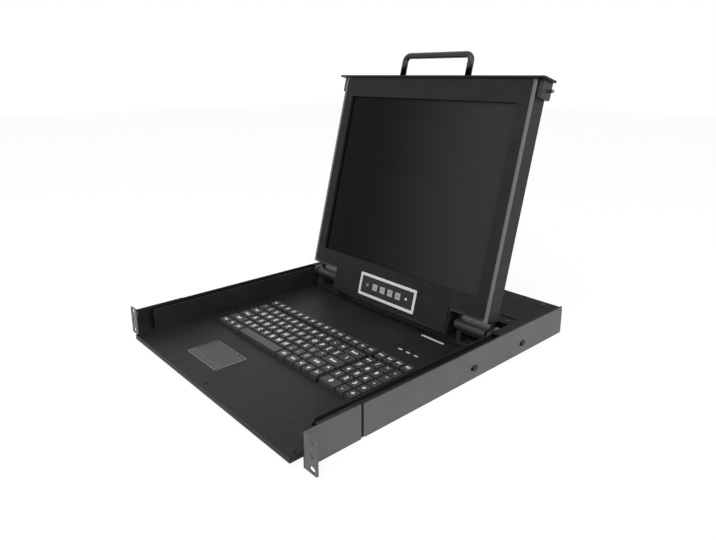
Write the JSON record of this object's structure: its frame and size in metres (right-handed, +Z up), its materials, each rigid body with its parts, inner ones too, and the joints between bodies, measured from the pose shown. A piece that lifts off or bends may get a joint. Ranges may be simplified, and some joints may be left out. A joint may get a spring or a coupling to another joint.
{
  "type": "rackmount console drawer",
  "caption": "Rack-mounted sliding drawer with a keyboard and touchpad, and a flat screen in a fold-down lid that carries the front panel and pull handle.",
  "frame": {"origin": "centre of the ears' slot pattern, on the front face of the ears", "axes": "+X to the drawer's right seen from the front, +Y into the rack, +Z up"},
  "size_m": [0.4826, 0.519, 0.4351],
  "materials": {
    "frame_steel": "black fine-texture powder coat on steel",
    "drawer_steel": "black satin powder coat on steel",
    "slide_steel": "zinc-plated rolled steel",
    "cage_steel": "bright steel balls in a pressed cage",
    "screw_steel": "black oxide steel",
    "deck_coat": "black semi-gloss coat",
    "key_plastic": "moulded black ABS with white legends",
    "base_plastic": "moulded black ABS",
    "pad_plastic": "smooth dark grey polycarbonate",
    "window_plastic": "pale translucent polycarbonate",
    "cast_black": "satin black zinc casting",
    "pin_steel": "ground steel",
    "arm_steel": "black plated steel",
    "lid_coat": "black satin powder coat on steel",
    "bezel_plastic": "fine-textured black ABS",
    "module_metal": "display module in a thin metal frame",
    "screen_glass": "dark anti-glare cover glass",
    "circuit_board": "glass-epoxy circuit board",
    "overlay_film": "black printed film",
    "trim_plastic": "pale silver moulded trim",
    "button_plastic": "pale grey silicone-coated buttons",
    "handle_metal": "black powder coat on steel bar",
    "latch_cast": "black zinc casting",
    "bolt_steel": "blackened steel",
    "spring_steel": "spring steel",
    "power_case": "folded aluminium case",
    "inlet_plastic": "moulded black nylon",
    "port_shell": "nickel-plated steel shells"
  },
  "bodies": {
    "frame": {"side_plate_right": "frame_steel", "side_plate_left": "frame_steel", "ear_bracket_right": "frame_steel", "ear_bracket_left": "frame_steel", "rear_bracket_right": "frame_steel", "rear_bracket_left": "frame_steel", "bracket_screws": "screw_steel", "cross_ties": "frame_steel", "slide_outer_members": "slide_steel"},
    "slide_middle": {"slide_middle_members": "slide_steel"},
    "outer_cages": {"outer_ball_cages": "cage_steel"},
    "inner_cages": {"inner_ball_cages": "cage_steel"},
    "drawer": {"slide_inner_members": "slide_steel", "tray_pan": "drawer_steel", "deck_plate": "deck_coat", "keyboard_base": "base_plastic", "touchpad": "pad_plastic", "indicator_windows": "window_plastic", "rear_cover": "drawer_steel", "rear_panel": "drawer_steel", "power_unit": "power_case", "main_board": "circuit_board", "power_inlet": "inlet_plastic", "signal_ports": "port_shell", "hinge_block_right": "cast_black", "hinge_block_left": "cast_black", "hinge_pins": "pin_steel"},
    "lid": {"hinge_arms": "arm_steel", "lid_back_cover": "lid_coat", "lid_bezel": "bezel_plastic", "screen_module": "module_metal", "screen_glass": "screen_glass", "screen_board": "circuit_board", "control_overlay": "overlay_film", "control_trim_ring": "trim_plastic", "control_board": "circuit_board", "front_panel": "lid_coat", "pull_handle": "handle_metal", "handle_screws": "screw_steel", "latch_housing_right": "latch_cast", "latch_housing_left": "latch_cast", "latch_spring_right": "spring_steel", "latch_spring_left": "spring_steel"},
    "latch_bolt_right": {"latch_bolt_right": "bolt_steel"},
    "latch_bolt_left": {"latch_bolt_left": "bolt_steel"},
    "power_switch": {"power_switch": "inlet_plastic"},
    "touchpad_button_left": {"touchpad_button_left": "pad_plastic"},
    "touchpad_button_right": {"touchpad_button_right": "pad_plastic"},
    "keys_space_row": {"keys_space_row": "key_plastic"},
    "keys_lower_row": {"keys_lower_row": "key_plastic"},
    "keys_home_row": {"keys_home_row": "key_plastic"},
    "keys_upper_row": {"keys_upper_row": "key_plastic"},
    "keys_number_row": {"keys_number_row": "key_plastic"},
    "keys_function_row": {"keys_function_row": "key_plastic"},
    "control_button_1": {"control_button_1": "button_plastic"},
    "control_button_2": {"control_button_2": "button_plastic"},
    "control_button_3": {"control_button_3": "button_plastic"},
    "control_button_4": {"control_button_4": "button_plastic"},
    "control_button_5": {"control_button_5": "button_plastic"}
  },
  "joints": [
    {"name": "drawer_slide", "type": "slide", "parent": "frame", "child": "drawer", "axis": [0, -1, 0], "range_m": [0, 0.4]},
    {"name": "slide_middle_travel", "type": "slide", "parent": "frame", "child": "slide_middle", "axis": [0, -1, 0], "range_m": [0, 0.2]},
    {"name": "outer_cage_travel", "type": "slide", "parent": "frame", "child": "outer_cages", "axis": [0, -1, 0], "range_m": [0, 0.1]},
    {"name": "inner_cage_travel", "type": "slide", "parent": "frame", "child": "inner_cages", "axis": [0, -1, 0], "range_m": [0, 0.3]},
    {"name": "lid_hinge", "type": "hinge", "parent": "drawer", "child": "lid", "pos_m": [0, 0.3553, 0.01625], "axis": [1, 0, 0], "range_deg": [-15, 104.4]},
    {"name": "latch_right_slide", "type": "slide", "parent": "lid", "child": "latch_bolt_right", "axis": [-1, 0, 0], "range_m": [0, 0.006], "stiffness_N_per_m": 400, "springref_m": -0.004, "deforming": ["latch_spring_right"]},
    {"name": "latch_left_slide", "type": "slide", "parent": "lid", "child": "latch_bolt_left", "axis": [1, 0, 0], "range_m": [0, 0.006], "stiffness_N_per_m": 400, "springref_m": -0.004, "deforming": ["latch_spring_left"]},
    {"name": "power_switch_rock", "type": "hinge", "parent": "drawer", "child": "power_switch", "pos_m": [0.18, 0.503, 0.00115], "axis": [1, 0, 0], "range_deg": [0, 14]},
    {"name": "touchpad_left_press", "type": "slide", "parent": "drawer", "child": "touchpad_button_left", "axis": [0, 0, -1], "range_m": [0, 0.0005], "stiffness_N_per_m": 400, "springref_m": -0.0005},
    {"name": "touchpad_right_press", "type": "slide", "parent": "drawer", "child": "touchpad_button_right", "axis": [0, 0, -1], "range_m": [0, 0.0005], "stiffness_N_per_m": 400, "springref_m": -0.0005},
    {"name": "keys_space_press", "type": "slide", "parent": "drawer", "child": "keys_space_row", "axis": [0, 0, -1], "range_m": [0, 0.002], "stiffness_N_per_m": 1500, "springref_m": -0.001},
    {"name": "keys_lower_press", "type": "slide", "parent": "drawer", "child": "keys_lower_row", "axis": [0, 0, -1], "range_m": [0, 0.002], "stiffness_N_per_m": 1500, "springref_m": -0.001},
    {"name": "keys_home_press", "type": "slide", "parent": "drawer", "child": "keys_home_row", "axis": [0, 0, -1], "range_m": [0, 0.002], "stiffness_N_per_m": 1500, "springref_m": -0.001},
    {"name": "keys_upper_press", "type": "slide", "parent": "drawer", "child": "keys_upper_row", "axis": [0, 0, -1], "range_m": [0, 0.002], "stiffness_N_per_m": 1500, "springref_m": -0.001},
    {"name": "keys_number_press", "type": "slide", "parent": "drawer", "child": "keys_number_row", "axis": [0, 0, -1], "range_m": [0, 0.002], "stiffness_N_per_m": 1500, "springref_m": -0.001},
    {"name": "keys_function_press", "type": "slide", "parent": "drawer", "child": "keys_function_row", "axis": [0, 0, -1], "range_m": [0, 0.002], "stiffness_N_per_m": 1500, "springref_m": -0.001},
    {"name": "control_button_1_press", "type": "slide", "parent": "lid", "child": "control_button_1", "axis": [0, 0.9686, -0.2487], "range_m": [0, 0.0005], "stiffness_N_per_m": 400, "springref_m": -0.0005},
    {"name": "control_button_2_press", "type": "slide", "parent": "lid", "child": "control_button_2", "axis": [0, 0.9686, -0.2487], "range_m": [0, 0.0005], "stiffness_N_per_m": 400, "springref_m": -0.0005},
    {"name": "control_button_3_press", "type": "slide", "parent": "lid", "child": "control_button_3", "axis": [0, 0.9686, -0.2487], "range_m": [0, 0.0005], "stiffness_N_per_m": 400, "springref_m": -0.0005},
    {"name": "control_button_4_press", "type": "slide", "parent": "lid", "child": "control_button_4", "axis": [0, 0.9686, -0.2487], "range_m": [0, 0.0005], "stiffness_N_per_m": 400, "springref_m": -0.0005},
    {"name": "control_button_5_press", "type": "slide", "parent": "lid", "child": "control_button_5", "axis": [0, 0.9686, -0.2487], "range_m": [0, 0.0005], "stiffness_N_per_m": 400, "springref_m": -0.0005}
  ],
  "couplings": [
    {"joint": "slide_middle_travel", "follows": "drawer_slide", "ratio": 0.5},
    {"joint": "outer_cage_travel", "follows": "drawer_slide", "ratio": 0.25},
    {"joint": "inner_cage_travel", "follows": "drawer_slide", "ratio": 0.75}
  ]
}
